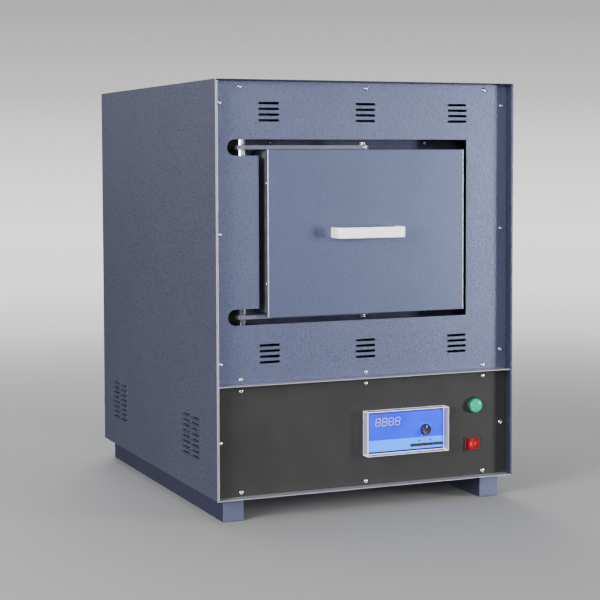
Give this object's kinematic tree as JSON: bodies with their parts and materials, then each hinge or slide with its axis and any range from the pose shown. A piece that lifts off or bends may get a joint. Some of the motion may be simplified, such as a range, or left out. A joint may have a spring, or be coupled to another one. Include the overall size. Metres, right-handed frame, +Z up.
{
  "type": "kiln",
  "caption": "Box kiln for pottery with an insulated chamber, swing-arm door on a side hinge, and a lower control bay with controller, lamp and rocker switch.",
  "frame": {"origin": "centre of the bottom of the bounding box, on the floor under the skids", "axes": "+Z up, the door faces -Y, +X to the right of someone facing the door"},
  "size_m": [0.567, 0.724, 0.7364],
  "materials": {
    "left_side_panel": "blue-grey hammertone",
    "right_side_panel": "blue-grey hammertone",
    "top_panel": "blue-grey hammertone",
    "base_plate": "blue-grey hammertone",
    "left_skid": "blue-grey hammertone",
    "right_skid": "blue-grey hammertone",
    "divider_shelf": "blue-grey hammertone",
    "front_panel": "blue-grey hammertone",
    "rear_panel": "blue-grey hammertone",
    "upper_arm": "blue-grey hammertone",
    "lower_arm": "blue-grey hammertone",
    "door_cover": "blue-grey semi-gloss",
    "control_panel": "charcoal satin",
    "mouth_plate": "galvanised",
    "chamber_stand": "galvanised",
    "door_body": "galvanised",
    "upper_hinge_bracket": "galvanised",
    "lower_hinge_bracket": "galvanised",
    "upper_hinge_pin": "bright turned",
    "lower_hinge_pin": "bright turned",
    "upper_pivot_pin": "bright turned",
    "lower_pivot_pin": "bright turned",
    "floor_board": "fibrous matt",
    "roof_board": "fibrous matt",
    "left_board": "fibrous matt",
    "right_board": "fibrous matt",
    "rear_board": "fibrous matt",
    "door_insulation": "fibrous matt",
    "door_gasket": "fibre rope",
    "hearth_plate": "fired, matt",
    "left_element": "oxidised alloy wire",
    "right_element": "oxidised alloy wire",
    "thermocouple_sheath": "matt",
    "thermocouple_head": "cast",
    "heat_sink": "extruded",
    "door_handle": "white lacquer",
    "controller_face": "glossy",
    "controller_case": "matt",
    "power_regulator": "matt",
    "lamp_body": "matt",
    "rocker_housing": "matt",
    "cable_gland": "matt",
    "controller_knob": "matt",
    "controller_lid": "clear acrylic",
    "lamp_lens": "translucent",
    "rocker_key": "translucent",
    "terminal_block": "moulded"
  },
  "bodies": {
    "casing": {"left_side_panel": "left_side_panel", "right_side_panel": "right_side_panel", "top_panel": "top_panel", "base_plate": "base_plate", "left_skid": "left_skid", "right_skid": "right_skid", "divider_shelf": "divider_shelf", "front_panel": "front_panel", "rear_panel": "rear_panel", "control_panel": "control_panel", "mouth_plate": "mouth_plate", "chamber_stand": "chamber_stand", "upper_hinge_bracket": "upper_hinge_bracket", "lower_hinge_bracket": "lower_hinge_bracket", "upper_hinge_pin": "upper_hinge_pin", "lower_hinge_pin": "lower_hinge_pin", "floor_board": "floor_board", "roof_board": "roof_board", "left_board": "left_board", "right_board": "right_board", "rear_board": "rear_board", "hearth_plate": "hearth_plate", "left_element": "left_element", "right_element": "right_element", "thermocouple_sheath": "thermocouple_sheath", "thermocouple_head": "thermocouple_head", "heat_sink": "heat_sink", "controller_face": "controller_face", "controller_case": "controller_case", "power_regulator": "power_regulator", "lamp_body": "lamp_body", "rocker_housing": "rocker_housing", "cable_gland": "cable_gland", "lamp_lens": "lamp_lens", "terminal_block": "terminal_block"},
    "door_arms": {"upper_arm": "upper_arm", "lower_arm": "lower_arm"},
    "door": {"door_cover": "door_cover", "door_body": "door_body", "door_insulation": "door_insulation", "door_gasket": "door_gasket", "door_handle": "door_handle", "upper_pivot_pin": "upper_pivot_pin", "lower_pivot_pin": "lower_pivot_pin"},
    "rocker": {"rocker_key": "rocker_key"},
    "knob": {"controller_knob": "controller_knob"},
    "lid": {"controller_lid": "controller_lid"}
  },
  "joints": [
    {"name": "arm_hinge", "type": "hinge", "parent": "casing", "child": "door_arms", "pos_m": [-0.2225, -0.301, 0.48085], "axis": [0, 0, -1], "range_deg": [0, 110]},
    {"name": "door_pivot", "type": "hinge", "parent": "door_arms", "child": "door", "pos_m": [0, -0.301, 0.48085], "axis": [0, 0, 1], "range_deg": [-1, 1]},
    {"name": "rocker_tilt", "type": "hinge", "parent": "casing", "child": "rocker", "pos_m": [0.2095, -0.309, 0.0983], "axis": [0, 0, -1], "range_deg": [0, 18]},
    {"name": "knob_turn", "type": "hinge", "parent": "casing", "child": "knob", "pos_m": [0.1105, -0.326, 0.1323], "axis": [0, 1, 0], "range_deg": [-140, 140]},
    {"name": "lid_hinge", "type": "hinge", "parent": "casing", "child": "lid", "pos_m": [0.0735, -0.3158, 0.17105], "axis": [-1, 0, 0], "range_deg": [0, 85]}
  ]
}
